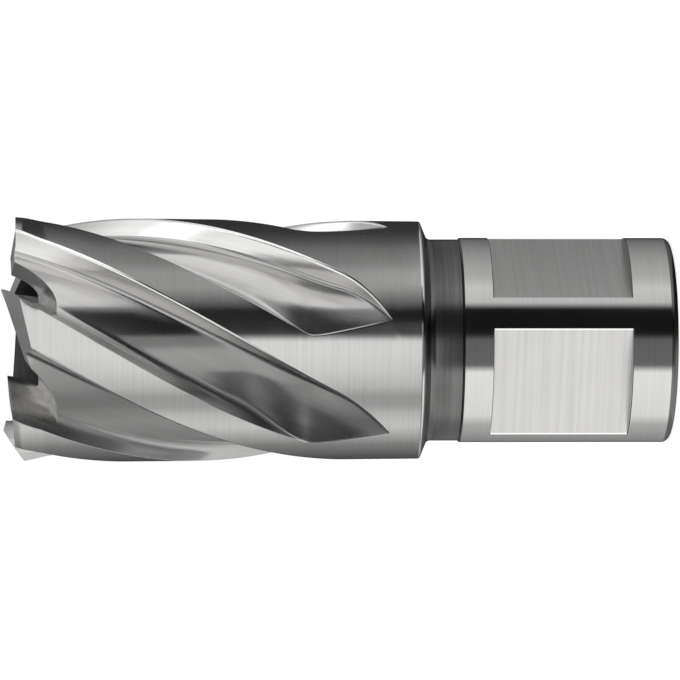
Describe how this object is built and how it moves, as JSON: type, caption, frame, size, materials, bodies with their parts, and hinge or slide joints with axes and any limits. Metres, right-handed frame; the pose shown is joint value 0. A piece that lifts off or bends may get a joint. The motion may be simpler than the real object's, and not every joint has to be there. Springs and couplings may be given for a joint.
{
  "type": "annular cutter",
  "caption": "Hollow fluted core drill with ground end teeth, a plain collar and a flatted drive shank, for cutting large holes in steel plate.",
  "frame": {"origin": "centre of the shank's end face, on the tool's axis", "axes": "+Z along the tool's axis from the shank to the teeth, +X and -Y square out of the drive flats"},
  "size_m": [0.0229, 0.0226, 0.0619],
  "materials": {
    "ground_steel": "satin"
  },
  "bodies": {
    "root": {"cutter": "ground_steel"}
  },
  "joints": []
}
